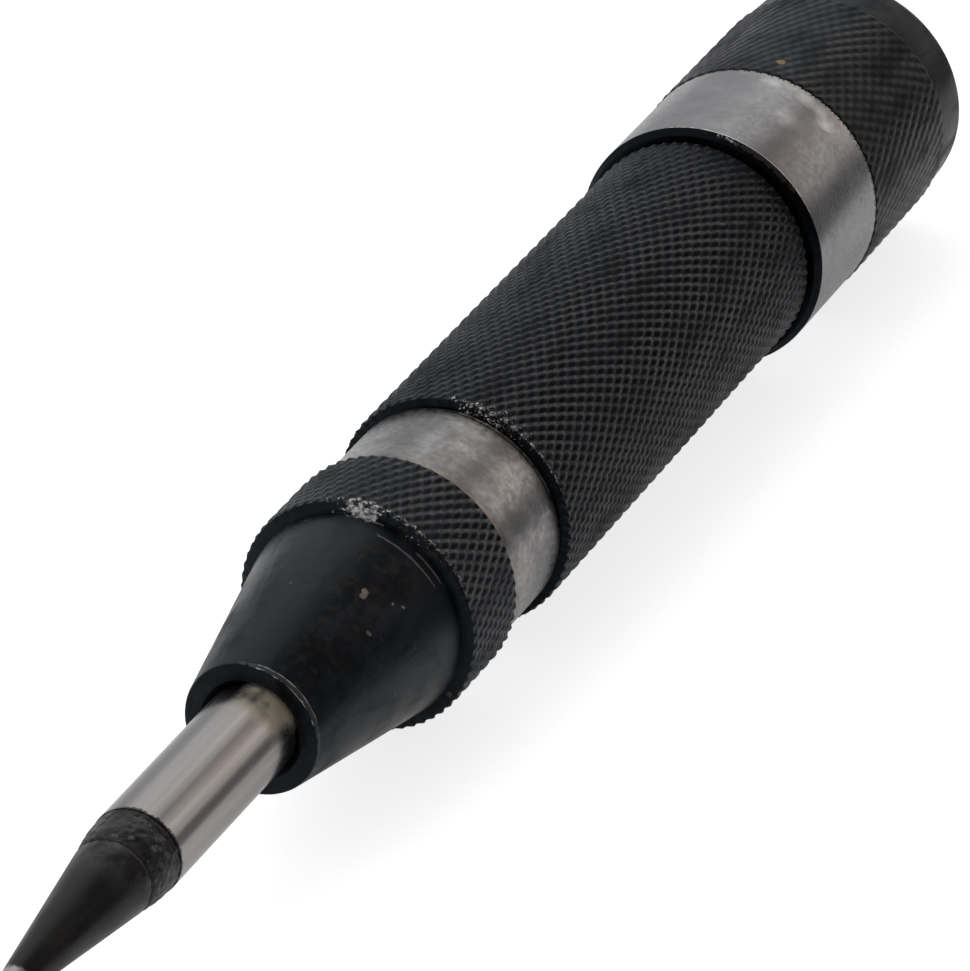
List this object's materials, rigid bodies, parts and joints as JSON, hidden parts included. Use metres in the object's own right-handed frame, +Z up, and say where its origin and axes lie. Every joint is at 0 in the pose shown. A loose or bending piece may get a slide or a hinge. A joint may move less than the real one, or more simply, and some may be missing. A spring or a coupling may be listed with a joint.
{
  "type": "automatic centre punch",
  "caption": "Spring-loaded automatic centre punch: tapered point and shank, conical nose, knurled body and screwed cap that sets the blow.",
  "frame": {"origin": "on the bench plane, below the middle of the tool's length, with the tool lying on its side", "axes": "+X along the tool from the point towards the cap, +Z up from the bench, +Y across the tool"},
  "size_m": [0.132, 0.0174, 0.0175],
  "materials": {
    "black_oxide": "black oxide, satin, worn on the knurl's crests",
    "ground_steel": "ground bright",
    "hardened_steel": "hardened and ground, satin",
    "spring_steel": "drawn wire, oiled"
  },
  "bodies": {
    "casing": {"nosepiece": "black_oxide", "body_tube": "black_oxide"},
    "point": {"punch_point": "ground_steel", "drive_pin": "hardened_steel", "return_spring": "spring_steel"},
    "hammer": {"hammer": "hardened_steel", "trigger_spring": "spring_steel"},
    "trigger": {"trigger_block": "hardened_steel"},
    "seat": {"spring_seat": "hardened_steel", "main_spring": "spring_steel"},
    "cap": {"adjusting_cap": "black_oxide"}
  },
  "joints": [
    {"name": "point_press", "type": "slide", "parent": "casing", "child": "point", "axis": [1, 0, 0], "range_m": [0, 0.009], "stiffness_N_per_m": 1500, "springref_m": -0.004},
    {"name": "hammer_cock", "type": "slide", "parent": "casing", "child": "hammer", "axis": [1, 0, 0], "range_m": [0, 0.009], "deforming": ["main_spring"]},
    {"name": "trigger_shift", "type": "slide", "parent": "hammer", "child": "trigger", "axis": [0, -1, 0], "range_m": [0, 0.0009], "deforming": ["trigger_spring"]},
    {"name": "cap_travel", "type": "slide", "parent": "casing", "child": "seat", "axis": [1, 0, 0], "range_m": [0, 0.004]},
    {"name": "cap_turn", "type": "hinge", "parent": "seat", "child": "cap", "pos_m": [0.05, 0, 0.00875], "axis": [1, 0, 0], "range_deg": [0, 1440]}
  ],
  "couplings": [
    {"joint": "hammer_cock", "follows": "point_press", "ratio": 1},
    {"joint": "trigger_shift", "follows": "point_press", "ratio": 0.1},
    {"joint": "cap_turn", "follows": "cap_travel", "rad_per_m": 6283.2}
  ]
}
